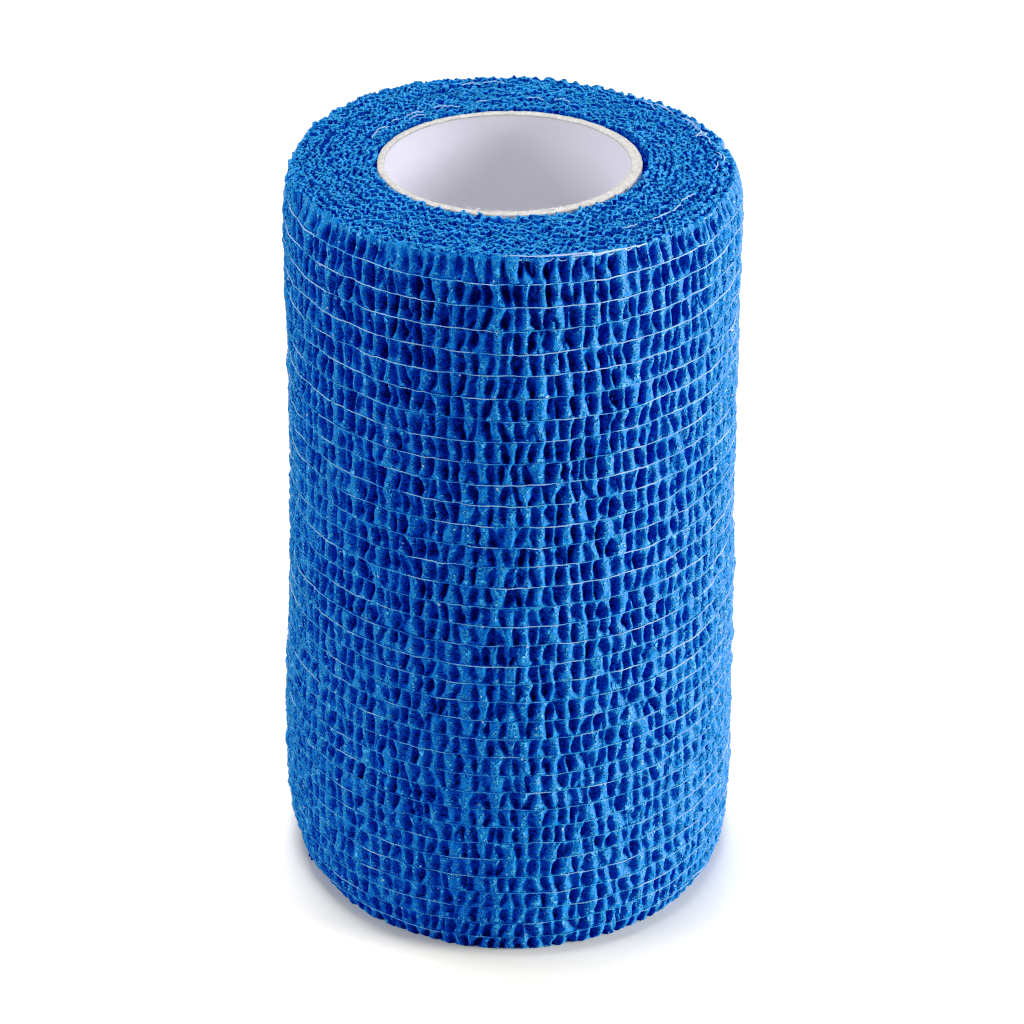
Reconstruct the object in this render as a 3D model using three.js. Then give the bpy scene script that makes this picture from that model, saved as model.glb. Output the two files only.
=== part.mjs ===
// A roll of crinkled cohesive bandage wound on a paper core and standing on its end.
// Millimetres, +Z up along the roll's axis, origin at the centre of the foot on the surface it stands on.
// The front of the roll faces -Y and the strip's plain outer end lies at the back.

import * as THREE from "three";

// Driving dimensions
const STRIP_WIDTH = 100;
const CORE_RADIUS = 16.8;
const CORE_WALL = 1.2;
const CORE_SETBACK = 0.4;
const FIT_GAP = 0.3;
const TURN_STEP = 0.75;

// Crinkles of the outer turn: their number, depth, unevenness and sideways wander
const RIB_COUNT = 120;
const RIB_DEPTH = 0.55;
const RIB_UNEVENNESS = 0.6;
const RIB_WANDER = 0.35;
const RIM_TOOTH = 0.3;

// Facets round the two rings, with a crest and a hollow for each crinkle
const COLUMNS = 2 * RIB_COUNT;
const CORE_COLUMNS = 96;

// Outside of the roll from foot to rim: soft rounded foot, a slight spread above it, a rolled rim
const WALL = [
  { height: 0, radius: 28.8 },
  { height: 2.5, radius: 29.7 },
  { height: 8, radius: 30.2 },
  { height: 16, radius: 30.1 },
  { height: 25, radius: 29.95 },
  { height: 35, radius: 29.65 },
  { height: 45, radius: 29.35 },
  { height: 55, radius: 29.1 },
  { height: 65, radius: 28.85 },
  { height: 75, radius: 28.75 },
  { height: 85, radius: 28.65 },
  { height: 95, radius: 28.6 },
  { height: 98.5, radius: 28.2 },
  { height: STRIP_WIDTH, radius: 27.3 },
];

// Steps of the upper end face, as shares of the way from the rim in to the core
const END_FACE_SHARES = [0.28, 0.62, 0.95];

// How far the rim sinks below full height, by the angle counted from the front towards +X
const RIM_DROPS = [
  { degrees: 0, drop: 0.2 },
  { degrees: 30, drop: 0.55 },
  { degrees: 90, drop: 0.6 },
  { degrees: 150, drop: 0.45 },
  { degrees: 190, drop: 0.2 },
  { degrees: 225, drop: 0 },
  { degrees: 270, drop: 0.1 },
  { degrees: 330, drop: 0.2 },
];

const FULL_TURN = 2 * Math.PI;
const BORE_RADIUS = CORE_RADIUS + FIT_GAP;

// Repeatable scatter between 0 and 1 for a pair of whole numbers
function scatter(first, second) {
  const value = Math.sin(first * 12.9898 + second * 78.233) * 43758.5453;
  return value - Math.floor(value);
}

// Sink of the rim at an angle, eased between the rows of the table
function rimDrop(angle) {
  const degrees = THREE.MathUtils.euclideanModulo(THREE.MathUtils.radToDeg(angle), 360);
  const after = RIM_DROPS.findIndex((row) => row.degrees > degrees);
  const next = after < 0 ? { degrees: 360, drop: RIM_DROPS[0].drop } : RIM_DROPS[after];
  const last = RIM_DROPS[after < 0 ? RIM_DROPS.length - 1 : after - 1];
  const share = THREE.MathUtils.smoothstep(degrees, last.degrees, next.degrees);
  return THREE.MathUtils.lerp(last.drop, next.drop, share);
}

// Spiral of the outer turn: it grows by one turn's step up to the strip's end at the back
function spiralStep(column) {
  const columnsPastEnd = (column + COLUMNS / 2) % COLUMNS;
  return TURN_STEP * (columnsPastEnd / (COLUMNS - 1) - 0.5);
}

// Closed section of the wound cloth: up the wall, in over the upper end, down the bore and out under the foot
function clothSection() {
  const rim = WALL[WALL.length - 1];
  const wall = WALL.map((row) => new THREE.Vector2(row.radius, row.height));
  const end = END_FACE_SHARES.map(
    (share) => new THREE.Vector2(THREE.MathUtils.lerp(rim.radius, BORE_RADIUS, share), STRIP_WIDTH),
  );
  const bore = [new THREE.Vector2(BORE_RADIUS, STRIP_WIDTH - FIT_GAP), new THREE.Vector2(BORE_RADIUS, 0)];
  return [...wall, ...end, ...bore, wall[0]];
}

// Place of one point of the cloth, from its column round the roll and its station along the section
function clothPoint(section, column, station) {
  const flat = section[station];
  const crest = column % 2 === 0 ? 1 : -1;
  const depth = 0.5 * crest * (1 - RIB_UNEVENNESS * scatter(column, station));
  const onWall = station < WALL.length;
  const inWall = onWall && station > 0;
  const onBore = station >= WALL.length + END_FACE_SHARES.length;
  const columnStep = FULL_TURN / COLUMNS;
  const wander = inWall ? RIB_WANDER * columnStep * (scatter(column + COLUMNS, station) - 0.5) : 0;
  const angle = column * columnStep + wander;
  const ribs = onWall ? RIB_DEPTH * depth + spiralStep(column) : 0;
  const radius = flat.x + ribs;
  const outward = THREE.MathUtils.clamp((flat.x - BORE_RADIUS) / (WALL[0].radius - BORE_RADIUS), 0, 1);
  const raised = THREE.MathUtils.smoothstep(flat.y, WALL[WALL.length - 3].height, STRIP_WIDTH);
  const lift = onBore ? 0 : raised * (RIM_TOOTH * (depth - 0.5) - outward * rimDrop(angle));
  return new THREE.Vector3(radius * Math.sin(angle), flat.y + lift, radius * Math.cos(angle));
}

// The wound cloth as one closed ring with its crinkles raised in the wall's points
function woundCloth() {
  const section = clothSection();
  const ring = new THREE.LatheGeometry(section, COLUMNS);
  const position = ring.getAttribute("position");
  for (let column = 0; column <= COLUMNS; column += 1) {
    for (let station = 0; station < section.length; station += 1) {
      const point = clothPoint(section, column % COLUMNS, station % (section.length - 1));
      position.setXYZ(column * section.length + station, point.x, point.y, point.z);
    }
  }
  ring.computeVertexNormals();
  return ring.rotateX(Math.PI / 2);
}

// The paper core as a plain tube open at both ends
function paperTube() {
  const inside = CORE_RADIUS - CORE_WALL;
  const top = STRIP_WIDTH - CORE_SETBACK;
  const section = [
    new THREE.Vector2(CORE_RADIUS, 0),
    new THREE.Vector2(CORE_RADIUS, top),
    new THREE.Vector2(inside, top),
    new THREE.Vector2(inside, 0),
    new THREE.Vector2(CORE_RADIUS, 0),
  ];
  return new THREE.LatheGeometry(section, CORE_COLUMNS).rotateX(Math.PI / 2);
}

const clothFinish = new THREE.MeshStandardMaterial({ color: 0x1464be, roughness: 0.95, metalness: 0 });
const paperFinish = new THREE.MeshStandardMaterial({ color: 0xe8e6e2, roughness: 0.85, metalness: 0 });

const bandage = new THREE.Mesh(woundCloth(), clothFinish);
bandage.name = "bandage";

const core = new THREE.Mesh(paperTube(), paperFinish);
core.name = "core";

const roll = new THREE.Group();
roll.add(bandage, core);

export default roll;
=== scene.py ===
"""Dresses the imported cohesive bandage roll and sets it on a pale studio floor.

The roll is one crinkled strip wound on a paper core. Its outer turn shows puckered rows between elastic
yarns, the folded edges of its inner turns fill both ends, and loose bits of yarn lie on the upper end.
Lengths are metres, with small sizes written as a number times MM. Angles run from the front, -Y, towards +X.
"""

from __future__ import annotations

import logging
import math
from dataclasses import dataclass, field
from enum import Enum

import bpy
import numpy as np
from mathutils import Matrix, Vector


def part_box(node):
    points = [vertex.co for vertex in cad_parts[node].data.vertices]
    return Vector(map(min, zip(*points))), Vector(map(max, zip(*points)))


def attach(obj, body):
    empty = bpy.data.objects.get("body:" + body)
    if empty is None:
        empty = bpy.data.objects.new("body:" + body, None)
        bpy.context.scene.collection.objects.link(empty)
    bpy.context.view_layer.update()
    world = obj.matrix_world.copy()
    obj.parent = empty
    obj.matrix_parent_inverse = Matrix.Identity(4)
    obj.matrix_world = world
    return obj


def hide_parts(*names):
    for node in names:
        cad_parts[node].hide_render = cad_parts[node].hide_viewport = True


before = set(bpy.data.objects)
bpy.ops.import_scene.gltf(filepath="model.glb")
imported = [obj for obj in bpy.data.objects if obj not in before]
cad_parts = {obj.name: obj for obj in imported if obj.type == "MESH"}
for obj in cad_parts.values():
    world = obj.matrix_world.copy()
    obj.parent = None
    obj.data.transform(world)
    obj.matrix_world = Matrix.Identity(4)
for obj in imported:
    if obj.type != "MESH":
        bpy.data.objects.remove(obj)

MM = 0.001
FULL_TURN = 2 * math.pi
BODY = "root"
CLOTH_SLOT = "crinkled_cloth"
PAPER_SLOT = "core_paper"

# How much narrower and taller the dressed core is than its solid
CORE_TRIM = 0.35 * MM
CORE_RISE = 0.2 * MM

# Middle value of the shader's noise
NOISE_MIDDLE = 0.5

# Number of the curve that acts on all three colours
COMBINED_CURVE = 3

# Sides of an open tube, and a direction that no tube follows
OPEN_SIDES = 4
NEARLY_UP = (0.05, 0.03, 1.0)

log = logging.getLogger("bandage_roll")

Colour = tuple[float, float, float]
Place = tuple[float, float, float]
Span = tuple[float, float]
Stored = dict[str, np.ndarray]


class Band(Enum):
    """A stretch of the outer turn, as its first row and the row after its last, counted up from the foot."""

    FOOT = (0, 9)
    LOWER = (9, 18)
    UPPER = (18, 27)
    HEAD = (27, 36)


class Signal:
    """A shader value with Python's arithmetic: each operation on it adds one Math node."""

    def __init__(self, shader: Shader, socket: bpy.types.NodeSocket) -> None:
        """Keeps the shader that owns the socket."""
        self.shader = shader
        self.socket = socket

    def maths(self, operation: str, *terms: Signal | float) -> Signal:
        """Adds a Math node of this operation on the terms."""
        return self.shader.node("ShaderNodeMath", {"operation": operation}, dict(enumerate(terms)))

    def __add__(self, other: Signal | float) -> Signal:
        """Sum."""
        return self.maths("ADD", self, other)

    def __radd__(self, other: float) -> Signal:
        """Sum with a number first."""
        return self.maths("ADD", other, self)

    def __sub__(self, other: Signal | float) -> Signal:
        """Difference."""
        return self.maths("SUBTRACT", self, other)

    def __rsub__(self, other: float) -> Signal:
        """Difference from a number."""
        return self.maths("SUBTRACT", other, self)

    def __mul__(self, other: Signal | float) -> Signal:
        """Product."""
        return self.maths("MULTIPLY", self, other)

    def __rmul__(self, other: float) -> Signal:
        """Product with a number first."""
        return self.maths("MULTIPLY", other, self)

    def __abs__(self) -> Signal:
        """Distance from zero."""
        return self.maths("ABSOLUTE", self)

    def eased(self, low: float, high: float) -> Signal:
        """A smooth step from 0 at low to 1 at high."""
        settings = {"interpolation_type": "SMOOTHSTEP", "clamp": True}
        return self.shader.node("ShaderNodeMapRange", settings, {"Value": self, 1: low, 2: high})


class Shader:
    """A material whose nodes are added by one method and whose surface is one Principled shader."""

    def __init__(self, name: str) -> None:
        """Starts an empty material of this name.

        Args:
            name: the material's name.
        """
        self.material = bpy.data.materials.new(name)
        self.material.use_nodes = True
        self.tree = self.material.node_tree
        self.surface = self.tree.nodes["Principled BSDF"]

    def node(self, kind: str, settings: dict, sockets: dict, output: int | str = 0) -> Signal:
        """Adds a node, sets it up and feeds its sockets.

        Args:
            kind: the node's type.
            settings: properties set before the sockets; stops fills a colour ramp.
            sockets: input names or numbers with a value or a signal for each.
            output: the output that is returned.

        Returns:
            The chosen output as a signal.
        """
        node = self.tree.nodes.new(kind)
        for name, value in settings.items():
            if name == "stops":
                self.fill_ramp(node, value)
            else:
                setattr(node, name, value)
        for key, value in sockets.items():
            self.feed(node.inputs[key], value)
        return Signal(self, node.outputs[output])

    @staticmethod
    def fill_ramp(node: bpy.types.Node, stops: list[tuple[float, Colour]]) -> None:
        """Gives a colour ramp its stops.

        Args:
            node: the colour ramp.
            stops: pairs of place and colour.
        """
        elements = node.color_ramp.elements
        while len(elements) < len(stops):
            elements.new(1.0)
        for element, (place, colour) in zip(elements, stops):
            element.position = place
            element.color = (*colour, 1.0)

    def feed(self, socket: bpy.types.NodeSocket, value: Signal | float | Colour) -> None:
        """Links a signal to a socket, or sets a plain value on it.

        Args:
            socket: the input to feed.
            value: the signal or the plain value.
        """
        if isinstance(value, Signal):
            self.tree.links.new(value.socket, socket)
        elif socket.type == "RGBA":
            socket.default_value = (*value, 1.0)
        else:
            socket.default_value = value

    def dress(self, **sockets: Signal | float | Colour) -> bpy.types.Material:
        """Feeds the Principled shader's sockets.

        Args:
            sockets: a signal or a plain value for each input, named with underscores for spaces.

        Returns:
            The finished material.
        """
        for name, value in sockets.items():
            self.feed(self.surface.inputs[name.replace("_", " ")], value)
        return self.material

    def place(self) -> Signal:
        """Object coordinates."""
        return self.node("ShaderNodeTexCoord", {}, {}, "Object")

    def noise(self, grain: float, detail: float = 2.0) -> Signal:
        """Cloudy noise about 0.5 whose lumps are about grain metres across."""
        sockets = {"Vector": self.place(), "Scale": 1 / grain, "Detail": detail}
        return self.node("ShaderNodeTexNoise", {}, sockets, "Fac")

    def attribute(self, name: str) -> Signal:
        """A number stored on the mesh's points."""
        return self.node("ShaderNodeAttribute", {"attribute_name": name}, {}, "Fac")

    def blend(self, share: Signal, first: Signal | Colour, second: Signal | Colour) -> Signal:
        """A colour between two, by share."""
        sockets = {"Factor": share, 6: first, 7: second}
        return self.node("ShaderNodeMix", {"data_type": "RGBA", "clamp_factor": True}, sockets, 2)

    def bump(self, height: Signal, distance: float, strength: float) -> Signal:
        """A normal bent by a height that runs from 0 to 1 over a distance in metres."""
        sockets = {"Height": height, "Distance": distance, "Strength": strength}
        return self.node("ShaderNodeBump", {}, sockets, "Normal")


@dataclass(frozen=True)
class ClothFinish:
    """Matt blue nonwoven with a net of fine creases, carrying painted highlights and painted shade.

    Crests and creases get painted highlights, the hollows painted shade. The shade runs from 0 at the lint's
    colour to 1 at the hollows' painted shade, with crest and flank at their stops.
    """

    name: str = "blue_crinkled_cloth"
    # Lint is pale fibre and the painted highlight of creases and crowns; the last two colours are painted
    # shade.
    lint: Colour = (0.08, 0.325, 0.76)
    crest: Colour = (0.022, 0.12, 0.44)
    flank_shade: Colour = (0.015, 0.102, 0.39)
    hollow_shade: Colour = (0.012, 0.085, 0.325)
    crest_stop: float = 0.32
    flank_stop: float = 0.62
    mean_shade: float = 0.65
    depth_shade: float = 0.265
    # The creases are painted pale as highlights, fading where the stored depth is large.
    crease_shade: float = 0.6
    crease_fade: float = 0.5
    lump_shade: float = 0.25
    crease_size: float = 0.8 * MM
    crease_edges: Span = (0.008, 0.065)
    lump_size: float = 0.7 * MM
    # Pale flecks on the ridges are painted glints.
    glint_speck: Colour = (0.5, 0.52, 0.72)
    glint_size: float = 0.45 * MM
    glint_edges: Span = (0.8, 0.86)
    glint_cover: float = 0.8
    bump_height: float = 0.75 * MM
    crease_bump: float = 0.6
    lump_bump: float = 0.4
    roughness: float = 0.62
    gloss: float = 0.13
    bloom: float = 0.2
    bloom_roughness: float = 0.2
    bloom_tint: Colour = (0.6, 0.85, 1.0)

    def material(self) -> bpy.types.Material:
        """Painted shade falls from lint on the crests into the hollows by the stored depth.

        Fine creases are painted pale as highlights. Creases are the lines where a noise passes its middle
        value.

        Returns:
            The cloth's material.
        """
        shader = Shader(self.name)
        # The stored depth is painted shade: 1 in the hollows, below 0 where the inner turns' crowns are
        # painted light.
        depth = shader.attribute("hollow_shade")
        creases = 1 - abs(shader.noise(self.crease_size, 1.0) - NOISE_MIDDLE).eased(*self.crease_edges)
        lumps = shader.noise(self.lump_size, 1.0)
        shade = self.mean_shade + self.depth_shade * depth
        shade = shade - self.crease_shade * creases * (1 - self.crease_fade * abs(depth))
        shade = shade + self.lump_shade * (NOISE_MIDDLE - lumps)
        stops = [(0.0, self.lint), (self.crest_stop, self.crest)]
        stops += [(self.flank_stop, self.flank_shade), (1.0, self.hollow_shade)]
        ground = shader.node("ShaderNodeValToRGB", {"stops": stops}, {"Fac": shade}, "Color")
        # Painted glints: pale flecks on the ridges, none in the hollows.
        glint_specks = shader.noise(self.glint_size, 0.0).eased(*self.glint_edges) * (1 - abs(depth))
        return shader.dress(
            Base_Color=shader.blend(self.glint_cover * glint_specks, ground, self.glint_speck),
            Normal=shader.bump(self.crease_bump * creases + self.lump_bump * lumps, self.bump_height, 1.0),
            Roughness=self.roughness,
            Specular_IOR_Level=self.gloss,
            Sheen_Weight=self.bloom,
            Sheen_Roughness=self.bloom_roughness,
            Sheen_Tint=self.bloom_tint,
        )


@dataclass(frozen=True)
class YarnFinish:
    """Thin elastic yarn, white where it lies bare and blue where lint covers it."""

    name: str = "elastic_yarn"
    bare: Colour = (0.3, 0.42, 0.72)
    covered: Colour = (0.03, 0.16, 0.46)
    bare_edges: Span = (0.15, 0.85)
    speckle_size: float = 0.5 * MM
    speckle_share: float = 0.5
    roughness: float = 0.5
    bloom: float = 0.1

    def material(self) -> bpy.types.Material:
        """Colour runs from covered to bare by the stored share.

        Returns:
            The yarn's material.
        """
        shader = Shader(self.name)
        speckle = shader.noise(self.speckle_size)
        share = shader.attribute("bare") + self.speckle_share * (speckle - NOISE_MIDDLE)
        return shader.dress(
            Base_Color=shader.blend(share.eased(*self.bare_edges), self.covered, self.bare),
            Roughness=self.roughness,
            Sheen_Weight=self.bloom,
        )


@dataclass(frozen=True)
class PaperFinish:
    """Smooth white lining paper over a cream board that shows at the cut edge."""

    name: str = "core_paper"
    lining: Colour = (0.86, 0.845, 0.925)
    pale_lining: Colour = (0.88, 0.865, 0.94)
    dark_board: Colour = (0.34, 0.33, 0.315)
    pale_board: Colour = (0.45, 0.44, 0.43)
    cloud_size: float = 9 * MM
    pulp_size: float = 0.5 * MM
    pulp_detail: float = 4.0
    pulp_edges: Span = (0.3, 0.7)
    cut_edges: Span = (0.25, 0.75)
    lining_pulp: float = 0.15
    bump_height: float = 0.08 * MM
    bump_strength: float = 0.5
    roughness: float = 0.7
    gloss: float = 0.35

    def material(self) -> bpy.types.Material:
        """White lining turning to mottled cream board by the stored share of cut edge.

        Returns:
            The paper's material.
        """
        shader = Shader(self.name)
        cut = shader.attribute("cut")
        pulp = shader.noise(self.pulp_size, self.pulp_detail)
        clouds = shader.noise(self.cloud_size)
        board = shader.blend(pulp.eased(*self.pulp_edges), self.dark_board, self.pale_board)
        lining = shader.blend(clouds, self.lining, self.pale_lining)
        return shader.dress(
            Base_Color=shader.blend(cut.eased(*self.cut_edges), lining, board),
            Normal=shader.bump(pulp * (self.lining_pulp + cut), self.bump_height, self.bump_strength),
            Roughness=self.roughness,
            Specular_IOR_Level=self.gloss,
        )


@dataclass(frozen=True)
class FloorFinish:
    """Plain white studio floor."""

    name: str = "studio_floor"
    tint: Colour = (0.82, 0.8, 0.75)
    pale_tint: Colour = (0.84, 0.82, 0.77)
    cloud_size: float = 0.4
    roughness: float = 0.9
    gloss: float = 0.1

    def material(self) -> bpy.types.Material:
        """A faintly clouded matt white.

        Returns:
            The floor's material.
        """
        shader = Shader(self.name)
        colour = shader.blend(shader.noise(self.cloud_size), self.tint, self.pale_tint)
        return shader.dress(Base_Color=colour, Roughness=self.roughness, Specular_IOR_Level=self.gloss)


def ease(share: np.ndarray) -> np.ndarray:
    """The ease 3t² - 2t³ of a share clipped to 0 and 1."""
    t = np.clip(share, 0.0, 1.0)
    return t * t * (3 - 2 * t)


def lattice_noise(rng: np.random.Generator, up: np.ndarray, around: np.ndarray, cells: int) -> np.ndarray:
    """Smooth noise from -1 to 1 that closes round the roll.

    Random numbers stand at the corners of a lattice, and each point blends its four corners by the ease.

    Args:
        rng: the source of random numbers.
        up: lattice coordinate along the roll, from 0.
        around: lattice coordinate round the roll, from 0 to cells.
        cells: number of lattice cells round the roll.

    Returns:
        One value for each pair of up and around, broadcast together.
    """
    corners = rng.uniform(-1, 1, (int(np.max(up)) + 2, cells))
    low = np.floor(up).astype(int)
    left = np.floor(around).astype(int)
    rise, run = ease(up - low), ease(around - left)
    left, right = left % cells, (left + 1) % cells
    below = corners[low, left] * (1 - run) + corners[low, right] * run
    above = corners[low + 1, left] * (1 - run) + corners[low + 1, right] * run
    return below * (1 - rise) + above * rise


def at_angle(angle: np.ndarray, radius: np.ndarray, height: np.ndarray) -> np.ndarray:
    """Points at an angle from the front, a distance from the roll's axis and a height."""
    angle, radius, height = np.broadcast_arrays(angle, radius, height)
    return np.stack([radius * np.sin(angle), -radius * np.cos(angle), height], axis=-1)


def grid_quads(rows: int, columns: int, rows_close: bool, columns_close: bool) -> np.ndarray:
    """Faces of a grid of points that are numbered row by row.

    Args:
        rows: number of rows.
        columns: number of columns.
        rows_close: whether the last row joins the first.
        columns_close: whether the last column joins the first.

    Returns:
        Four point numbers for each face.
    """
    row, column = np.meshgrid(
        np.arange(rows if rows_close else rows - 1),
        np.arange(columns if columns_close else columns - 1),
        indexing="ij",
    )
    next_row, next_column = (row + 1) % rows, (column + 1) % columns
    corners = [row * columns + column, row * columns + next_column]
    corners += [next_row * columns + next_column, next_row * columns + column]
    return np.stack(corners, axis=-1).reshape(-1, 4)


def make_piece(name: str, points: np.ndarray, quads: np.ndarray, stored: Stored) -> bpy.types.Object:
    """Puts points, faces and numbers stored on the points into a new smooth mesh.

    Args:
        name: the piece's name.
        points: places of the points, in any leading shape.
        quads: four point numbers for each face.
        stored: attribute names with one number for each point.

    Returns:
        The new object, linked to the scene.
    """
    flat = np.ascontiguousarray(points.reshape(-1, 3), np.float32)
    mesh = bpy.data.meshes.new(name)
    mesh.vertices.add(len(flat))
    mesh.vertices.foreach_set("co", flat.ravel())
    mesh.loops.add(quads.size)
    mesh.loops.foreach_set("vertex_index", quads.ravel().astype(np.int32))
    mesh.polygons.add(len(quads))
    mesh.polygons.foreach_set("loop_start", np.arange(0, quads.size, 4, dtype=np.int32))
    mesh.polygons.foreach_set("use_smooth", np.ones(len(quads), bool))
    mesh.update(calc_edges=True)
    for key, values in stored.items():
        layer = mesh.attributes.new(key, "FLOAT", "POINT")
        layer.data.foreach_set("value", np.ascontiguousarray(values.ravel(), np.float32))
    mesh.validate()
    piece = bpy.data.objects.new(name, mesh)
    bpy.context.scene.collection.objects.link(piece)
    return piece


def tubes(
    paths: np.ndarray, thickness: np.ndarray, sides: int, closed: bool
) -> tuple[np.ndarray, np.ndarray]:
    """Round tubes carried along many paths at once.

    Each point of a path gets a ring of sides points, turned about the path's own direction. Open tubes end
    in a flat face, which is the first ring's and the last ring's own four points.

    Args:
        paths: points of every path, shaped paths by points by 3.
        thickness: radius at every point, shaped paths by points.
        sides: number of sides, four where the tubes are open.
        closed: whether the paths close on themselves.

    Returns:
        Points shaped paths by points by sides by 3, and the faces.
    """
    count, length = paths.shape[:2]
    if closed:
        along = np.roll(paths, -1, axis=1) - np.roll(paths, 1, axis=1)
    else:
        along = np.gradient(paths, axis=1)
    along = along / np.linalg.norm(along, axis=-1, keepdims=True)
    across = np.cross(along, np.array(NEARLY_UP))
    across = across / np.linalg.norm(across, axis=-1, keepdims=True)
    over = np.cross(across, along)
    turn = np.arange(sides) * FULL_TURN / sides
    ring = np.cos(turn)[:, None] * across[:, :, None] + np.sin(turn)[:, None] * over[:, :, None]
    points = paths[:, :, None] + thickness[:, :, None, None] * ring
    one = grid_quads(length, sides, closed, True)[:, ::-1]
    if not closed:
        ends = np.array([np.arange(sides), (length - 1) * sides + np.arange(sides)[::-1]])
        one = np.concatenate([one, ends])
    starts = np.arange(count) * length * sides
    return points, (one[None] + starts[:, None, None]).reshape(-1, 4)


@dataclass(frozen=True)
class RollForm:
    """The roll's overall form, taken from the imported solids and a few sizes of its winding.

    Rows of wall are a height and the wall's mean radius, in millimetres. Rows of drops are an angle in
    degrees and the millimetres that the rim sinks there.
    """

    height: float
    core_radius: float
    core_top: float
    core_wall: float = 1.15 * MM
    core_shift: float = 0.25 * MM
    fit_gap: float = 0.3 * MM
    turn_step: float = 0.75 * MM
    end_angle: float = math.pi
    end_lift: float = 0.25 * MM
    end_fade: float = 1.5 * MM
    end_puff: float = 0.25 * MM
    inner_swell: float = 0.45 * MM
    rim_radius: float = 28.1 * MM
    roll_angle: float = math.radians(-58)
    roll_start: float = 0.45
    roll_range: float = 0.4
    roll_in: float = 0.3 * MM
    bulge: float = 0.55 * MM
    bulge_level: float = 18 * MM
    foot_shift: float = 0.6 * MM
    foot_angle: float = math.radians(35)
    foot_level: float = 6 * MM
    wall_blend: float = 3 * MM
    wall: tuple[Span, ...] = (
        (0, 28.0),
        (2.5, 29.45),
        (8, 30.15),
        (25, 29.95),
        (45, 29.35),
        (65, 28.85),
        (95, 28.6),
        (98.5, 28.2),
        (100, 27.3),
    )
    drops: tuple[Span, ...] = (
        (0, 0.2),
        (30, 0.55),
        (90, 0.6),
        (150, 0.45),
        (190, 0.0),
        (210, -0.55),
        (235, -0.4),
        (270, 0.0),
        (330, 0.2),
        (360, 0.2),
    )

    @classmethod
    def from_frame(cls) -> RollForm:
        """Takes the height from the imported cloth, and the core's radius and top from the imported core.

        Returns:
            The form of this roll.
        """
        cloth_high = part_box("bandage")[1]
        core_low, core_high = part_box("core")
        return cls(
            height=round(cloth_high.z / MM) * MM,
            core_radius=(core_high.x - core_low.x) / 2 - CORE_TRIM,
            core_top=core_high.z + CORE_RISE,
        )

    @property
    def bore(self) -> float:
        """Radius of the hole in the wound cloth."""
        return self.core_radius + self.fit_gap

    def wall_radius(self, height: np.ndarray) -> np.ndarray:
        """Mean radius of the outer turn: straight runs between the wall's rows, averaged over a stretch.

        Args:
            height: heights on the wall.

        Returns:
            The radius at each height.
        """
        steps = np.linspace(-0.5, 0.5, 7) * self.wall_blend
        heights, radii = np.array(self.wall).T * MM
        return np.mean([np.interp(height + step, heights, radii) for step in steps], axis=0)

    def lopsided(self, angle: np.ndarray, height: np.ndarray) -> np.ndarray:
        """Swelling low on the left, fading up and down as a bell, and the foot's shift to the front right.

        Args:
            angle: angles from the front.
            height: heights on the wall.

        Returns:
            What is added to the wall's radius.
        """
        bell = np.exp(-(((height - self.bulge_level) / self.bulge_level) ** 2))
        shift = self.foot_shift * np.cos(angle - self.foot_angle) * ease(1 - height / self.foot_level)
        return self.bulge * np.clip(-np.sin(angle), 0, 1) * bell + shift

    def rim_drop(self, angle: np.ndarray) -> np.ndarray:
        """How far the rim sinks at an angle, between the rows of degrees and drop."""
        degrees, drops = np.array(self.drops).T
        return np.interp(np.degrees(angle) % 360, degrees, drops) * MM

    def rolled(self, angle: np.ndarray) -> np.ndarray:
        """Share by which the rim is rolled soft at an angle: full on the left front, none on the right."""
        return ease((np.cos(angle - self.roll_angle) - self.roll_start) / self.roll_range)

    def spiral(self, angle: np.ndarray) -> np.ndarray:
        """Growth of the outer turn by one step from the strip's outer end, with its cut end a little lifted.

        Args:
            angle: angles from the front.

        Returns:
            What is added to the wall's radius.
        """
        share = ((angle - self.end_angle) % FULL_TURN) / FULL_TURN
        short_of_end = (1 - share) * FULL_TURN * self.rim_radius
        return self.turn_step * (share - 0.5) + self.end_lift * np.exp(-short_of_end / self.end_fade)

    def end_height(self, radius: np.ndarray, angle: np.ndarray) -> np.ndarray:
        """Height of the upper end: a little proud, swollen before the core, sinking by the drop at the rim.

        Args:
            radius: distances from the roll's axis.
            angle: angles from the front.

        Returns:
            The height at each place.
        """
        outward = np.clip((radius - self.bore) / (self.rim_radius - self.bore), 0, 1)
        swell = self.inner_swell * 0.5 * (1 + np.cos(angle)) * (1 - outward) ** 3
        return self.height + self.end_puff + swell - self.rim_drop(angle) * outward


@dataclass(frozen=True)
class Unevenness:
    """Random relief of the wall: its height, its grain up the roll and its number of cells round the roll."""

    height: float
    grain: float
    cells: int

    def relief(self, rng: np.random.Generator, up: np.ndarray, turn: np.ndarray) -> np.ndarray:
        """Relief at a distance up the roll and a share of a turn."""
        return self.height * lattice_noise(rng, up / self.grain, self.cells * turn, self.cells)


@dataclass(frozen=True)
class HollowFamily:
    """Hollows of one kind: number in a row, mean depth, mean half width and the share pressed shut."""

    count: int
    depth: float
    width: float
    shut: float


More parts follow.
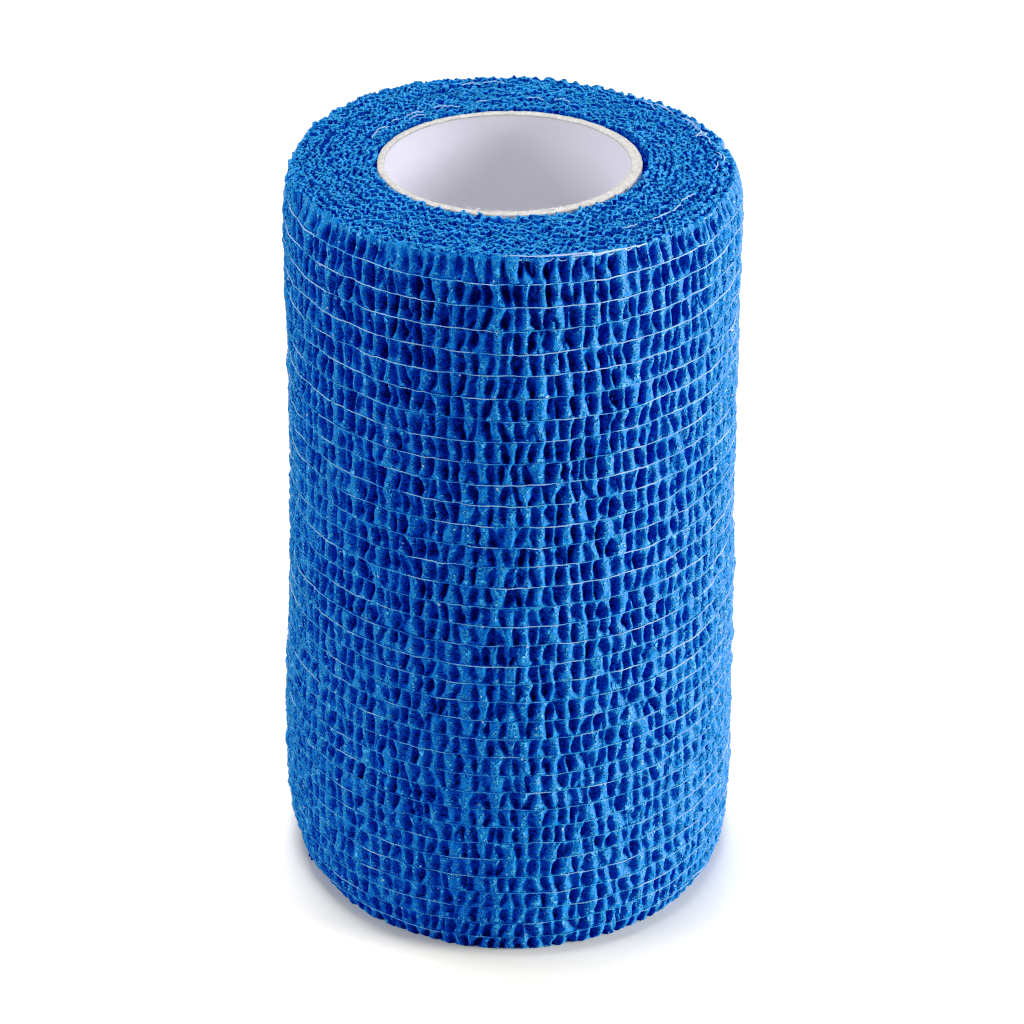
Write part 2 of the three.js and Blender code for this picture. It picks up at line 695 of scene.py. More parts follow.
@dataclass
class Puckers:
    """The crinkled relief of the outer turn: hollows between ridges, row by row between the yarns."""

    form: RollForm
    rows: int = 36
    columns: int = 1144
    row_steps: tuple[float, ...] = (0.0, 0.12, 0.27, 0.42, 0.58, 0.73, 0.88)
    crowding: float = 0.1
    mean_radius: float = 29.4 * MM
    main: HollowFamily = HollowFamily(104, 1.3 * MM, 0.41 * MM, 0.0)
    minor: HollowFamily = HollowFamily(97, 0.715 * MM, 0.2255 * MM, 0.76)
    foot_share: float = 0.66
    wander: float = 0.23 * MM
    wander_kept: float = 0.3
    drift: float = 0.45 * MM
    drift_rows: float = 4.3
    drift_cells: int = 19
    lean: float = 0.42 * MM
    taper: float = 0.55
    belly: float = 1.15
    almond: Span = (0.2, 0.95)
    width_spread: float = 0.15
    width_limits: Span = (0.6, 1.4)
    depth_spread: float = 0.2
    depth_limits: Span = (0.7, 1.4)
    shut_depth: float = 0.1
    centre_spread: float = 0.06
    reach: Span = (0.36, 0.52)
    yarn_pinch: float = 0.2 * MM
    pinch_reach: float = 0.09
    # Share of the pinch at each yarn that is painted as shade.
    pinch_shade: float = 0.35
    swell: float = 0.2 * MM
    ruffle: Unevenness = Unevenness(0.22 * MM, 0.9 * MM, 230)
    slow: Unevenness = Unevenness(0.16 * MM, 9 * MM, 26)
    lumps: Unevenness = Unevenness(0.15 * MM, 1.1 * MM, 180)
    lint: Unevenness = Unevenness(0.09 * MM, 0.45 * MM, 400)
    roll_smoothing: float = 0.75
    sink_band: float = 10 * MM
    soft_band: float = 4 * MM
    tooth: float = 0.5 * MM
    tooth_band: float = 3 * MM
    tooth_level: int = -4
    seed: int = 11
    angles: np.ndarray = field(init=False)
    levels: np.ndarray = field(init=False)
    relief: np.ndarray = field(init=False)
    # This share holds painted shade: deep in the pits and along the pinch at each yarn.
    hollow_shade: np.ndarray = field(init=False)

    def __post_init__(self) -> None:
        """Works out the whole wall's levels and relief once."""
        self.angles = np.arange(self.columns) * FULL_TURN / self.columns
        row = np.repeat(np.arange(self.rows), len(self.row_steps))
        share = np.tile(np.array(self.row_steps), self.rows)
        self.levels = self.row_height(np.append(row + share, self.rows))
        self.work_out(np.append(row, self.rows - 1), np.append(share, 1.0))

    @property
    def girth(self) -> float:
        """Mean length round the wall."""
        return FULL_TURN * self.mean_radius

    def row_height(self, row: np.ndarray) -> np.ndarray:
        """Height of a row count up the roll: rows are a little closer towards the foot."""
        share = np.asarray(row) / self.rows
        return self.form.height * (share - self.crowding * share * (1 - share))

    def work_out(self, row: np.ndarray, share: np.ndarray) -> None:
        """Sums the hollows, the pinch at the yarns and the unevenness into relief and painted shade.

        The two families of hollows are joined as the cube root of the sum of their cubes. The pinch at a yarn
        fades as 1 / (1 + (d / r)^2) with the distance d from it, and the swell between yarns is a parabola.

        Args:
            row: row number of every level.
            share: share of the way up its row of every level.
        """
        rng = np.random.default_rng(self.seed)
        turn, up = self.angles[None] / FULL_TURN, self.levels[:, None]
        across = self.girth * turn + self.ruffle.relief(rng, up, turn)
        main = self.hollows(rng, row, share, across, self.main)
        minor = self.hollows(rng, row, share, across, self.minor)
        pits = (main**3 + minor**3) ** (1 / 3)
        near_yarn = np.minimum(share, 1 - share)[:, None]
        pinch = self.yarn_pinch / (1 + (near_yarn / self.pinch_reach) ** 2)
        swell = self.swell * (1 - (2 * share[:, None] - 1) ** 2)
        uneven = sum(kind.relief(rng, up, turn) for kind in (self.slow, self.lumps, self.lint))
        self.relief = uneven + swell - pinch - pits
        # Painted shade: the pits' depth and a share of the yarn pinch, over the main hollows' depth.
        self.hollow_shade = np.clip((pits + self.pinch_shade * pinch) / self.main.depth, 0, 1)

    def hollows(
        self,
        rng: np.random.Generator,
        row: np.ndarray,
        share: np.ndarray,
        across: np.ndarray,
        family: HollowFamily,
    ) -> np.ndarray:
        """Depth of one family of hollows over the whole wall.

        A hollow's section is 1 / (1 + |x / w|^3) round its middle x = 0, and it fades as 1 / (1 + |v / l|^6)
        along its row. Hollows of a row stand an even pitch apart, wander from row to row, lean and taper, and
        grow shallower towards the foot.

        Args:
            rng: the source of random numbers.
            row: row number of every level.
            share: share of the way up its row of every level.
            across: ruffled distance round the wall of every level and column.
            family: the kind of hollow.

        Returns:
            Depth at every level and column.
        """
        shape, girth = (self.rows, family.count), self.girth
        pitch = girth / family.count
        wander = np.zeros(shape)
        step = rng.normal(0, self.wander, shape)
        for number in range(1, self.rows):
            wander[number] = self.wander_kept * wander[number - 1] + step[number]
        lattice_row = np.arange(self.rows)[:, None] / self.drift_rows
        lattice_column = self.drift_cells * np.arange(family.count)[None] / family.count
        drift = self.drift * lattice_noise(rng, lattice_row, lattice_column, self.drift_cells)
        middle = (np.arange(family.count) + 0.5) * pitch + wander + drift
        lean = rng.normal(0, self.lean, shape)
        taper = rng.uniform(-self.taper, self.taper, shape)
        almond = rng.uniform(*self.almond, shape)
        widths = family.width * np.clip(rng.normal(1, self.width_spread, shape), *self.width_limits)
        depths = family.depth * np.clip(rng.normal(1, self.depth_spread, shape), *self.depth_limits)
        depths = np.where(rng.uniform(size=shape) < family.shut, self.shut_depth * depths, depths)
        depths = depths * np.linspace(self.foot_share, 1, self.rows)[:, None]
        centre = rng.normal(0.5, self.centre_spread, shape)
        reach = rng.uniform(*self.reach, shape)
        total = np.zeros_like(across)
        nearest = np.floor(across / pitch).astype(int)
        rows, shares = row[:, None], share[:, None]
        along = 2 * shares - 1
        for shift in range(-2, 3):
            which = (nearest + shift) % family.count
            apart = across - middle[rows, which] - lean[rows, which] * (shares - 0.5)
            apart = (apart + girth / 2) % girth - girth / 2
            belly = self.belly - almond[rows, which] * along**2
            half = widths[rows, which] * (1 + taper[rows, which] * along) * belly
            section = 1 / (1 + np.abs(apart / half) ** 3)
            fade = 1 / (1 + np.abs((shares - centre[rows, which]) / reach[rows, which]) ** 6)
            total += (depths[rows, which] * section * fade) ** 3
        return total ** (1 / 3)

    def wall(self, first: int, last: int) -> tuple[np.ndarray, np.ndarray, np.ndarray]:
        """Radius, height and painted shade of the wall: the form's shape, its relief and the teeth along its
        rim.

        Args:
            first: number of the lowest level.
            last: number of the highest level, which is included.

        Returns:
            Three arrays shaped levels by columns.
        """
        level = self.levels[first : last + 1, None]
        below = self.form.height - level
        rim = self.form.end_height(self.form.rim_radius, self.angles)[None]
        sink = (self.form.height - rim) * ease(1 - below / self.sink_band)
        radius = self.form.wall_radius(level) + self.form.spiral(self.angles)[None]
        radius = radius + self.form.lopsided(self.angles[None], level)
        soft = self.form.rolled(self.angles)[None] * ease(1 - below / self.soft_band) ** 2
        keep = 1 - self.roll_smoothing * soft
        radius = radius - self.form.roll_in * soft + keep * self.relief[first : last + 1]
        teeth = self.tooth * self.hollow_shade[self.tooth_level] * ease(1 - below / self.tooth_band)
        return radius, level - sink - teeth, keep * self.hollow_shade[first : last + 1]


@dataclass
class SubAssembly:
    """A part of the roll that builds its meshes as pieces and then dresses them."""

    pieces: list[bpy.types.Object] = field(default_factory=list, init=False)

    def add(self, name: str, points: np.ndarray, quads: np.ndarray, stored: Stored) -> bpy.types.Object:
        """Makes a piece and keeps it for dressing."""
        self.pieces.append(make_piece(name, points, quads, stored))
        return self.pieces[-1]

    def dress(self, material: bpy.types.Material, slot: str) -> None:
        """Gives every piece its material and lets it ride on the roll.

        Args:
            material: the pieces' material.
            slot: the record's material slot; not used.
        """
        for piece in self.pieces:
            piece.data.materials.append(material)
            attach(piece, BODY)
            log.info("%s: %d faces", piece.name, len(piece.data.polygons))


@dataclass
class OuterTurn(SubAssembly):
    """The strip's last turn, as closed sleeves stacked between yarn lines.

    Each row of lip is one ring of the rounded lip: a share of the edge inwards and millimetres above the rim.
    """

    puckers: Puckers
    depth: float = 1.9 * MM
    edge: float = 0.34 * MM
    lip: tuple[Span, ...] = ((0.3, 0.09), (0.7, 0.1), (1.0, -0.02))
    # Share of the rim's painted shade that the lip carries.
    lip_shade: float = 0.6
    lip_back: float = 5 * MM

    def build(self) -> list[bpy.types.Object]:
        """Makes one closed sleeve for each band, from foot to head."""
        return [self.sleeve(band) for band in Band]

    def sleeve(self, band: Band) -> bpy.types.Object:
        """One band: the puckered wall, a rounded lip at the head or a flat one elsewhere, and a plain back.

        Args:
            band: the rows that the sleeve covers.

        Returns:
            The sleeve.
        """
        form, steps = self.puckers.form, len(self.puckers.row_steps)
        first, last = (row * steps for row in band.value)
        radius, height, hollow_shade = self.puckers.wall(first, last)
        low_back, high_back = form.wall_radius(self.puckers.levels[[first, last]]) - self.depth
        rim_radius, rim_height, rim_shade = radius[-1:], height[-1:], hollow_shade[-1:]
        # The hollows rows are painted shade: the wall's own, a share of the rim's on the lip, full on the
        # back rings.
        radii, heights, hollows = [radius], [height], [hollow_shade]
        back_height = rim_height
        if band is Band.HEAD:
            for inset, rise in self.lip:
                radii.append(rim_radius - inset * self.edge)
                heights.append(rim_height + rise * MM)
                hollows.append(self.lip_shade * rim_shade)
            back_height = rim_height - self.lip_back
        radii += [np.full_like(rim_radius, high_back), np.full_like(rim_radius, low_back)]
        heights += [back_height, height[:1]]
        hollows += 2 * [np.ones_like(rim_shade)]
        rings = np.concatenate(radii)
        points = at_angle(self.puckers.angles[None], rings, np.concatenate(heights))
        quads = grid_quads(len(rings), self.puckers.columns, True, True)
        stored = {"hollow_shade": np.concatenate(hollows)}
        return self.add(f"outer_turn_{band.name.lower()}", points, quads, stored)


@dataclass
class InnerTurns(SubAssembly):
    """The strip's inner turns: a crinkled ribbon wound in a spiral, whose folded edges fill both ends."""

    form: RollForm
    samples: int = 16400
    step: float = 0.72 * MM
    thickness: float = 0.24 * MM
    crown: float = 0.4
    inner_gap: float = 0.1 * MM
    rim_inset: float = 0.95 * MM
    foot_level: float = 2 * MM
    fold: float = 0.3 * MM
    fold_length: float = 0.98 * MM
    fold_spread: float = 0.5
    spread_length: float = 1.7 * MM
    pace: float = 2.2
    pace_length: float = 2.1 * MM
    drift: float = 0.16 * MM
    drift_length: float = 3.1 * MM
    loop: float = 0.15 * MM
    loop_lag: float = 0.6
    warp: float = 0.4 * MM
    warp_depth: float = 1.5 * MM
    warp_cells: int = 84
    roughness: float = 0.3 * MM
    rough_length: float = 0.55 * MM
    rough_middle: float = 0.6
    layer: float = 0.14 * MM
    layer_length: float = 11 * MM
    # Painted light and shade: crowns pale, darker down the sides into the gaps between turns.
    shades: tuple[float, ...] = (0.2, -1.05, -1.95, -1.95, -1.05, 0.2)
    shade_limits: Span = (-2, 1)
    rough_shade: float = 0.2
    seed: int = 23

    def spiral(self) -> tuple[np.ndarray, np.ndarray, np.ndarray]:
        """Angle, radius and length along a spiral whose radius grows by one step a turn, at even lengths.

        Returns:
            Three arrays with one value for each sample.
        """
        inner = self.form.bore + self.inner_gap
        outer = self.form.rim_radius - self.rim_inset
        growth = self.step / FULL_TURN
        total = (outer**2 - inner**2) / (2 * growth)
        length = np.linspace(0, total, self.samples)
        radius = np.sqrt(inner**2 + 2 * growth * length)
        return (radius - inner) / growth + self.form.end_angle, radius, length

    def along_strip(self, rng: np.random.Generator, length: np.ndarray, grain: float) -> np.ndarray:
        """Noise along the strip, with lumps about grain long."""
        cells = int(length[-1] / grain) + 2
        return lattice_noise(rng, np.zeros_like(length), length / grain, cells)

    def build(self) -> bpy.types.Object:
        """Carries the strip's thin section along the crinkled spiral.

        Folds swing the path in and out by a sine of uneven pace and size, and a second sine of twice the pace
        swings it along the turn, which rounds the folds into loops.

        Returns:
            The ribbon.
        """
        rng = np.random.default_rng(self.seed)
        angle, radius, length = self.spiral()
        pace = self.pace * self.along_strip(rng, length, self.pace_length)
        size = 1 + self.fold_spread * self.along_strip(rng, length, self.spread_length)
        drift = self.drift * self.along_strip(rng, length, self.drift_length)
        phase = FULL_TURN * length / self.fold_length + pace
        swing = drift + self.fold * size * np.sin(phase)
        slide = self.loop * size * np.sin(2 * phase + self.loop_lag * pace)
        depth, around = (radius - radius[0]) / self.warp_depth, self.warp_cells * angle / FULL_TURN
        swing += self.warp * lattice_noise(rng, depth, around, self.warp_cells)
        slide += self.warp * lattice_noise(rng, depth, around, self.warp_cells)
        turned = angle + slide / radius
        inward = (radius[-1] - radius) / (radius[-1] - radius[0])
        swing -= self.form.core_shift * inward * np.sin(turned)
        rough = self.along_strip(rng, length, self.rough_length)
        layer = self.along_strip(rng, length, self.layer_length)
        top = self.form.end_height(radius + swing, turned)
        top = top + self.roughness * (rough - self.rough_middle) + self.layer * layer
        points = self.section(turned, radius, swing, top)
        # Painted light: higher bits of edge are painted lighter by rough_shade.
        shade = np.array(self.shades)[:, None] - self.rough_shade * rough[None]
        stored = {"hollow_shade": np.clip(shade, *self.shade_limits)}
        return self.add("inner_turns", points, self.faces(len(self.shades)), stored)

    def section(
        self, angle: np.ndarray, radius: np.ndarray, swing: np.ndarray, top: np.ndarray
    ) -> np.ndarray:
        """Six rows of points along the strip: up its outer face, over its crown and down its inner face.

        The faces lie half a thickness to each side of the path, square to its direction.

        Args:
            angle: angles of the path.
            radius: radii of the even spiral.
            swing: what the folds add to the radius.
            top: heights of the upper edge.

        Returns:
            Points shaped six by samples by 3.
        """
        bore, inset = self.form.bore, self.rim_inset
        foot_radius = float(self.form.wall_radius(np.array(self.foot_level))) - inset
        spread = (foot_radius - bore) / (self.form.rim_radius - inset - bore)
        flat = np.zeros_like(angle)
        path = at_angle(angle, radius + swing, top)
        foot = at_angle(angle, bore + (radius - bore) * spread + swing, flat)
        along = np.gradient(path[:, :2], axis=0)
        along = along / np.linalg.norm(along, axis=1, keepdims=True)
        half = 0.5 * self.thickness * np.stack([along[:, 1], -along[:, 0], flat], axis=1)
        shoulder = path - np.array([0, 0, self.crown * self.thickness])
        outer = [foot + half, shoulder + half, path + self.crown * half]
        inner = [path - self.crown * half, shoulder - half, foot - half]
        return np.stack(outer + inner)

    def faces(self, rows: int) -> np.ndarray:
        """Faces round the section and along the strip, with two more that close each end.

        Args:
            rows: rows of points round the section.

        Returns:
            Four point numbers for each face.
        """
        first = np.arange(rows) * self.samples
        last = first + self.samples - 1
        caps = [first[[0, 1, 4, 5]], first[[1, 2, 3, 4]], last[[5, 4, 1, 0]], last[[4, 3, 2, 1]]]
        return np.concatenate([grid_quads(rows, self.samples, True, False), caps])


@dataclass
class ElasticYarns(SubAssembly):
    """The elastic yarns laid into the strip: a taut ring over the ridges at every row line."""

    puckers: Puckers
    radius: float = 0.05 * MM
    sides: int = 4
    every: int = 3
    span: int = 5
    lane: float = 7.0
    sway: float = 0.08 * MM
    sway_cells: int = 170
    drift: float = 0.128 * MM
    drift_cells: int = 14
    sink: float = 0.17 * MM
    bury: float = 0.12 * MM
    bury_cells: int = 60
    rim_height: float = 0.1 * MM
    rim_sway: float = 0.5
    rolled_drop: float = 1.0 * MM
    rolled_sink: float = 0.8 * MM
    foot_bare: float = 0.13
    bare_rise: float = 0.36
    bare_spread: float = 0.45
    bare_cells: int = 48
    proud_bare: float = 0.25
    seed: int = 37

    def round_ring(self, rng: np.random.Generator, angle: np.ndarray, cells: int) -> np.ndarray:
        """Noise round every ring, each on a lane of the lattice of its own."""
        lanes = self.lane * np.arange(self.puckers.rows)[:, None]
        return lattice_noise(rng, lanes, cells * angle[None] / FULL_TURN, cells)

    def build(self) -> bpy.types.Object:
        """Rings that ride on the highest ridge within reach, swaying a little and dipping into the lint.

        Returns:
            All the rings as one piece.
        """
        rng = np.random.default_rng(self.seed)
        puckers = self.puckers
        rows = np.arange(1, puckers.rows + 1)
        levels = rows * len(puckers.row_steps)
        radius, height, _ = puckers.wall(0, levels[-1])
        near = np.max([radius[np.minimum(levels + shift, levels[-1])] for shift in (-1, 0, 1)], axis=0)
        near[-1] = radius[-1]
        shifts = range(-self.span, self.span + 1)
        taut = np.max([np.roll(near, shift, axis=1) for shift in shifts], axis=0)
        taut = np.mean([np.roll(taut, shift, axis=1) for shift in shifts], axis=0)[:, :: self.every]
        angle = puckers.angles[:: self.every]
        sway = self.sway * self.round_ring(rng, angle, self.sway_cells)
        drift = self.drift * self.round_ring(rng, angle, self.drift_cells)
        bury = self.round_ring(rng, angle, self.bury_cells)
        lift = self.radius - self.sink + self.bury * bury
        up = height[levels][:, :: self.every] + sway + drift
        rolled = puckers.form.rolled(angle)
        rim = height[-1, :: self.every] - self.rim_height
        up[-1] = rim + self.rim_sway * sway[-1] - self.rolled_drop * rolled
        lift[-1] -= self.rolled_sink * rolled
        paths = at_angle(angle[None], taut + lift, up)
        points, quads = tubes(paths, np.full(paths.shape[:2], self.radius), self.sides, True)
        # The yarns are drawn paler towards the upper end, and paler where they stand proud.
        bare = self.foot_bare + self.bare_rise * rows[:, None] / puckers.rows
        bare = bare + self.bare_spread * self.round_ring(rng, angle, self.bare_cells) + self.proud_bare * bury
        stored = np.repeat(np.clip(bare, 0, 1)[:, :, None], self.sides, axis=2)
        log.info("yarn rings: %d, %.1f mm round the foot", len(rows), taut[0].mean() * FULL_TURN / MM)
        return self.add("elastic_yarns", points, quads, {"bare": stored})


@dataclass(frozen=True)
class StrayArc:
    """Bits of yarn strewn along an arc of the upper end: degrees, radius in millimetres, number and span."""

    first: float
    last: float
    radius: float
    count: int
    span: float = 6


@dataclass
class StrayYarns(SubAssembly):
    """Loose bits of elastic yarn that show pale on the rim and on the upper end, and one small loop.

    Sizes without a unit are millimetres on the upper end, or shares.
    """

    form: RollForm
    beside_core: StrayArc = StrayArc(190, 246, 18.6, 8)
    behind_core: StrayArc = StrayArc(156, 176, 20.0, 2)
    back_rim: StrayArc = StrayArc(182, 196, 24.7, 2)
    right_rim: StrayArc = StrayArc(82, 138, 25.7, 10)
    right_face: StrayArc = StrayArc(34, 66, 23.6, 4)
    front_rim: StrayArc = StrayArc(-4, 26, 27.5, 4, 16)
    start_spread: float = 0.12
    span_limits: Span = (0.6, 1.4)
    scatter: float = 0.3
    mean_slant: float = 0.1
    wobble: float = 0.07
    wobble_lumps: int = 6
    bow: float = 0.15
    rise: float = 0.15
    sink: float = 0.05
    flutter: float = 0.08
    flutter_lumps: int = 7
    lane: float = 3.0
    thickness: float = 0.05 * MM
    bare: float = 0.9
    points: int = 28
    loop_angle: float = math.radians(110)
    loop_radius: float = 24.9 * MM
    loop_width: float = 0.55 * MM
    loop_length: float = 0.75 * MM
    loop_inset: float = 0.3 * MM
    loop_rise: float = 0.3 * MM
    loop_open: float = 0.03
    loop_skew: float = 0.03
    seed: int = 53

    def build(self) -> bpy.types.Object:
        """Joins the bits and the loop, as thin tubes.

        Returns:
            All of them as one piece.
        """
        share = np.linspace(0, 1, self.points)[None]
        paths = np.concatenate([self.bits(share), self.loop(share)])
        points, quads = tubes(paths, np.full(paths.shape[:2], self.thickness), OPEN_SIDES, False)
        return self.add("stray_yarns", points, quads, {"bare": np.full(points.shape[:3], self.bare)})

    def bits(self, share: np.ndarray) -> np.ndarray:
        """Paths that run a short way round the end, bowed outwards and arched up by half a sine.

        Args:
            share: shares of the way along a path.

        Returns:
            Points shaped bits by points by 3.
        """
        rng = np.random.default_rng(self.seed)
        arcs = [self.beside_core, self.behind_core, self.back_rim]
        arcs += [self.right_rim, self.right_face, self.front_rim]
        counts = [arc.count for arc in arcs]
        rows = np.repeat([(arc.first, arc.last, arc.radius, arc.span) for arc in arcs], counts, axis=0)
        first, last, radius, span = (column[:, None] for column in rows.T)
        number = np.concatenate([np.arange(count) / count for count in counts])[:, None]
        start = first + (last - first) * (number + rng.uniform(0, self.start_spread, number.shape))
        span = span * rng.uniform(*self.span_limits, number.shape)
        radius = radius + rng.normal(0, self.scatter, number.shape)
        slant = rng.normal(self.mean_slant, self.scatter, number.shape)
        lane = self.lane * np.arange(len(rows))[:, None]
        wobble = lattice_noise(rng, lane, self.wobble_lumps * share, self.wobble_lumps + 2)
        flutter = lattice_noise(rng, lane, self.flutter_lumps * share, self.flutter_lumps + 2)
        arch = np.sin(math.pi * share)
        angle = np.radians(start + span * share)
        reach = (radius + slant * (share - 0.5) + self.bow * arch + self.wobble * wobble) * MM
        lift = (self.rise * arch - self.sink + self.flutter * flutter) * MM
        return at_angle(angle, reach, self.form.end_height(reach, angle) + lift)

    def loop(self, share: np.ndarray) -> np.ndarray:
        """One open ring of yarn that stands out from the upper end.

        Args:
            share: shares of the way along the path.

        Returns:
            Points shaped 1 by points by 3.
        """
        turn = FULL_TURN * (self.loop_open + (1 - 2 * self.loop_open) * share)
        sideways = self.loop_width * np.sin(turn) / self.loop_radius
        angle = self.loop_angle - sideways - self.loop_skew * (share - 0.5)
        reach = self.loop_radius + self.loop_length * (1 - np.cos(turn)) - self.loop_inset
        height = self.form.end_height(reach, angle) + self.loop_rise * np.sin(math.pi * share)
        return at_angle(angle, reach, height)


@dataclass
class PaperCore(SubAssembly):
    """The paper tube in the middle: white lining, cream board at the cut ends and torn fibres in front."""

    form: RollForm
    columns: int = 256
    front_rise: float = 0.5 * MM
    oval: float = 0.05 * MM
    oval_turn: float = 0.7
    lining_shift: float = 0.28 * MM
    lining_angle: float = math.radians(105)
    rough_cells: int = 120
    rough_radius: float = 0.035 * MM
    rough_height: float = 0.06 * MM
    edge_band: float = 0.25 * MM
    cut_start: float = 0.1 * MM
    fibre_count: int = 60
    fibre_points: int = 5
    fibre_middle: float = 3
    fibre_spread: float = 22
    fibre_lengths: Span = (0.3, 1.1)
    fibre_inset: float = 0.5
    fibre_lean: float = 0.5
    fibre_root: float = 0.1 * MM
    fibre_climb: float = 0.75
    fibre_droop: float = 0.35
    fibre_curl: float = 1.5
    fibre_radius: float = 0.035 * MM
    fibre_taper: float = 1.15
    seed: int = 41

    def stations(self) -> tuple[np.ndarray, np.ndarray]:
        """Stations of the section: up the outside, over the rounded cut edge and down the lining.

        Returns:
            Share of the wall inwards and distance below the cut, as columns with one row for each station.
        """
        top = self.form.core_top
        outside = [(0.0, top), (0.0, top - 4 * MM), (0.0, 0.5 * MM), (0.0, 0.12 * MM)]
        edge = [(0.06, 0.03 * MM)]
        edge += [(share, 0.0) for share in (0.15, 0.32, 0.5, 0.68, 0.85)]
        edge += [(0.94, 0.03 * MM)]
        lining = [(1.0, 0.12 * MM), (1.0, 0.3 * MM), (1.0, 0.6 * MM)]
        lining += [(1.0, top * share) for share in (0.02, 0.1, 0.25, 0.5, 0.75, 0.95, 1.0)]
        inward, below = np.array(outside + edge + lining).T
        return inward[:, None], below[:, None]

    def build(self) -> bpy.types.Object:
        """A ring of the section's stations: a little oval, with a rough cut edge that rises to the front.

        Returns:
            The tube.
        """
        rng = np.random.default_rng(self.seed)
        form = self.form
        inward, below = self.stations()
        angle = np.arange(self.columns)[None] * FULL_TURN / self.columns
        uneven = self.oval * np.cos(2 * angle + self.oval_turn) - form.core_shift * np.sin(angle)
        uneven = uneven + self.lining_shift * inward * np.cos(angle + self.lining_angle)
        count = 1.0 * np.arange(len(inward))[:, None]
        rough = lattice_noise(rng, count, self.rough_cells * angle / FULL_TURN, self.rough_cells)
        at_edge = ease(1 - below / self.edge_band)
        radius = form.core_radius - inward * form.core_wall + uneven + self.rough_radius * rough * at_edge
        slant = self.front_rise * 0.5 * (1 + np.cos(angle))
        height = form.core_top + slant - below + self.rough_height * rough * at_edge
        height = np.where(below >= form.core_top, 0.0, height)
        cut = np.broadcast_to(ease(1 - (below - self.cut_start) / self.edge_band), height.shape)
        quads = grid_quads(len(inward), self.columns, True, True)
        return self.add("paper_core", at_angle(angle, radius, height), quads, {"cut": cut})

    def fibres(self) -> bpy.types.Object:
        """Torn fibres along the front of the cut edge: short tapering tubes that lean and curl at random.

        Returns:
            All the fibres as one piece.
        """
        rng = np.random.default_rng(self.seed + 1)
        shape = (self.fibre_count, 1)
        share = np.linspace(0, 1, self.fibre_points)[None]
        root = np.radians(rng.normal(self.fibre_middle, self.fibre_spread, shape))
        length = rng.uniform(*self.fibre_lengths, shape) * MM
        lean = rng.uniform(-1, 1, shape)
        inner = self.form.core_radius - self.form.core_wall
        reach = inner + rng.uniform(0, self.fibre_inset, shape) * MM
        reach = reach - length * share * rng.uniform(0.0, self.fibre_lean)
        angle = root + lean * length * share**self.fibre_curl / inner
        climb = length * share * (self.fibre_climb - self.fibre_droop * share)
        height = self.form.core_top + self.front_rise - self.fibre_root + climb
        paths = at_angle(angle, reach, height)
        thickness = self.fibre_radius * (self.fibre_taper - share) * np.ones_like(angle)
        points, quads = tubes(paths, thickness, OPEN_SIDES, False)
        return self.add("core_fibres", points, quads, {"cut": np.zeros(points.shape[:3])})


@dataclass(frozen=True)
class Lamp:
    """A soft rectangular light: its name, place, width and height, power in watts and tint."""

    name: str
    place: Place
    size: Span
    power: float
    tint: Colour = (1.0, 1.0, 1.0)


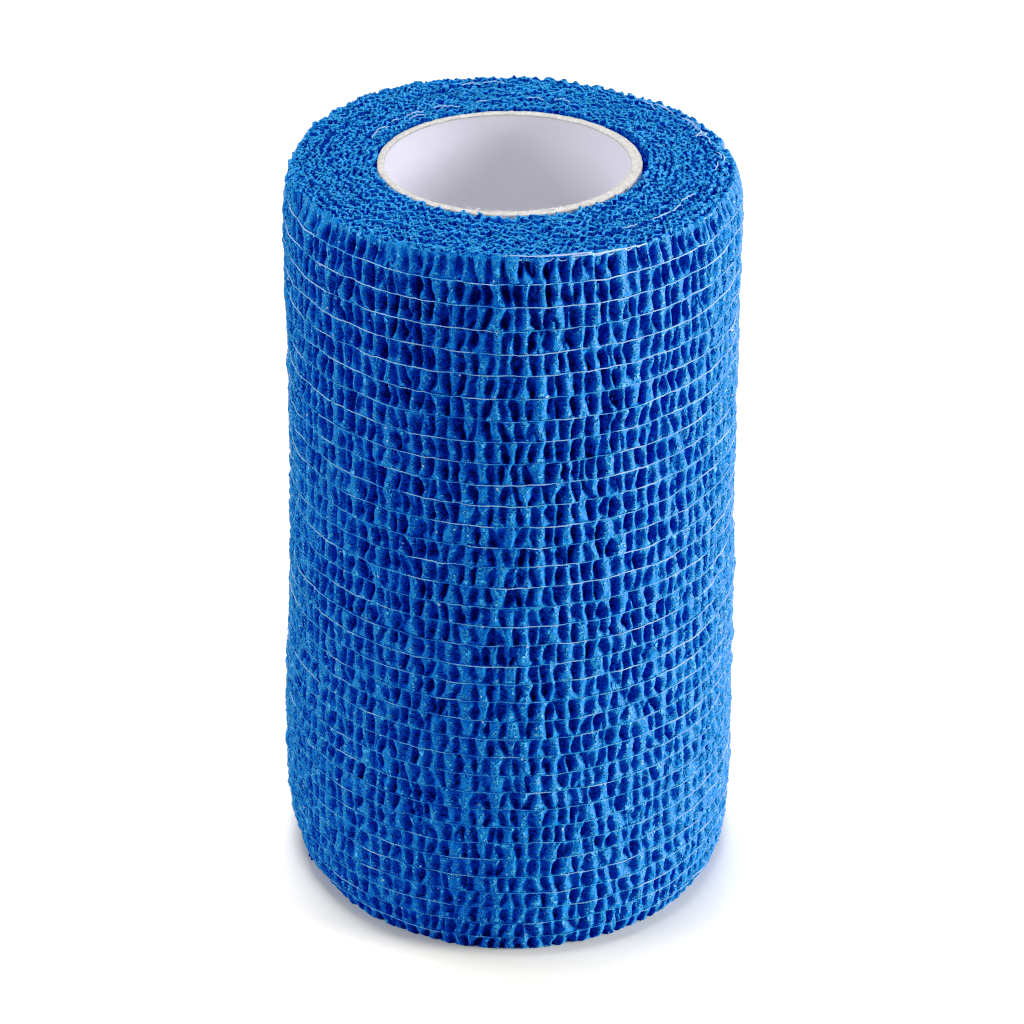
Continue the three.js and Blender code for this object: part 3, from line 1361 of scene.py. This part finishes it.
@dataclass
class Studio:
    """White floor, soft lights and the camera at the picture's angle.

    Rows of print_curve are a light's strength and how bright it is shown. All light from white up is shown
    as white.
    """

    form: RollForm
    aim_right: float = 0.2 * MM
    aim_down: float = 0.1 * MM
    elevation: float = 30.15
    distance: float = 411.5 * MM
    lens: float = 109.9
    roll: float = 0.23
    nearest: float = 0.01
    floor_half: float = 3.0
    surround: float = 0.42
    white: float = 1.15
    print_curve: tuple[Span, ...] = (
        (0.04, 0.004),
        (0.08, 0.024),
        (0.12, 0.062),
        (0.2, 0.185),
        (0.35, 0.335),
        (0.8, 0.66),
    )
    lamps: tuple[Lamp, ...] = (
        Lamp("right_strip", (1.25, -0.08, 0.06), (0.5, 0.12), 55.0, (1.0, 0.96, 0.78)),
        Lamp("right_side", (1.15, -0.3, 0.48), (0.4, 0.4), 11.0),
        Lamp("left_strip", (-1.25, -0.08, 0.06), (0.5, 0.12), 11.0),
        Lamp("left_side", (-1.15, -0.3, 0.48), (0.4, 0.4), 6.0),
        Lamp("top", (-0.06, 0.15, 1.3), (0.5, 0.5), 25.0),
    )

    @property
    def target(self) -> Vector:
        """The point near the middle of the roll that the camera and the lights face."""
        return Vector((self.aim_right, 0.0, self.form.height / 2 - self.aim_down))

    def build(self) -> None:
        """Makes the floor, the sky, the lights and the camera."""
        self.floor()
        self.sky()
        self.develop()
        for lamp in self.lamps:
            self.light(lamp)
        self.camera()

    def floor(self) -> None:
        """A wide white sheet of floor under the roll."""
        corners = np.array([[-1, -1, 0], [1, -1, 0], [1, 1, 0], [-1, 1, 0]])
        piece = make_piece("floor", self.floor_half * corners, np.array([[0, 1, 2, 3]]), {})
        piece.data.materials.append(FloorFinish().material())

    def sky(self) -> None:
        """An even white surround."""
        world = bpy.data.worlds.new("studio_sky")
        world.use_nodes = True
        ground = world.node_tree.nodes["Background"]
        ground.inputs["Color"].default_value = (1.0, 1.0, 1.0, 1.0)
        ground.inputs["Strength"].default_value = self.surround
        bpy.context.scene.world = world

    def develop(self) -> None:
        """Prints the picture with a firm toe and a soft shoulder, by the points of the print curve."""
        view = bpy.context.scene.view_settings
        view.view_transform = "Standard"
        view.use_curve_mapping = True
        mapping = view.curve_mapping
        mapping.clip_max_x = self.white
        curve = mapping.curves[COMBINED_CURVE]
        curve.points[1].location = (self.white, 1.0)
        for light, shown in self.print_curve:
            curve.points.new(light, shown).handle_type = "AUTO_CLAMPED"
        mapping.update()

    def light(self, lamp: Lamp) -> None:
        """Hangs one soft light so that it faces the roll.

        Args:
            lamp: the light.
        """
        data = bpy.data.lights.new(lamp.name, "AREA")
        data.shape = "RECTANGLE"
        data.size, data.size_y = lamp.size
        data.energy = lamp.power
        data.color = lamp.tint
        hung = bpy.data.objects.new(lamp.name, data)
        hung.location = lamp.place
        hung.rotation_euler = (self.target - Vector(lamp.place)).to_track_quat("-Z", "Y").to_euler()
        bpy.context.scene.collection.objects.link(hung)

    def camera(self) -> None:
        """A long lens from the front and above, aimed at the middle of the roll."""
        data = bpy.data.cameras.new("camera")
        data.lens = self.lens
        data.clip_start = self.nearest
        lift = math.radians(self.elevation)
        back = Vector((0, -math.cos(lift), math.sin(lift)))
        camera = bpy.data.objects.new("camera", data)
        turn = (-back).to_track_quat("-Z", "Y").to_matrix().to_4x4()
        tilt = Matrix.Rotation(math.radians(self.roll), 4, "Z")
        camera.matrix_world = Matrix.Translation(self.target + back * self.distance) @ turn @ tilt
        bpy.context.scene.collection.objects.link(camera)
        bpy.context.scene.camera = camera


def main() -> None:
    """Builds the studio and every part of the roll."""
    logging.basicConfig(level=logging.INFO, format="%(message)s")
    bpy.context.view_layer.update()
    form = RollForm.from_frame()
    Studio(form).build()

    cloth = ClothFinish().material()
    puckers = Puckers(form)
    outer_turn = OuterTurn(puckers)
    sleeves = outer_turn.build()
    outer_turn.dress(cloth, CLOTH_SLOT)

    inner_turns = InnerTurns(form)
    ribbon = inner_turns.build()
    inner_turns.dress(cloth, CLOTH_SLOT)
    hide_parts("bandage")

    elastic = YarnFinish().material()
    elastic_yarns = ElasticYarns(puckers)
    yarns = elastic_yarns.build()
    elastic_yarns.dress(elastic, CLOTH_SLOT)

    stray_yarns = StrayYarns(form)
    strays = stray_yarns.build()
    stray_yarns.dress(elastic, CLOTH_SLOT)

    paper_core = PaperCore(form)
    core = paper_core.build()
    paper_core.fibres()
    paper_core.dress(PaperFinish().material(), PAPER_SLOT)
    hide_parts("core")

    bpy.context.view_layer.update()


if __name__ == "__main__":
    main()
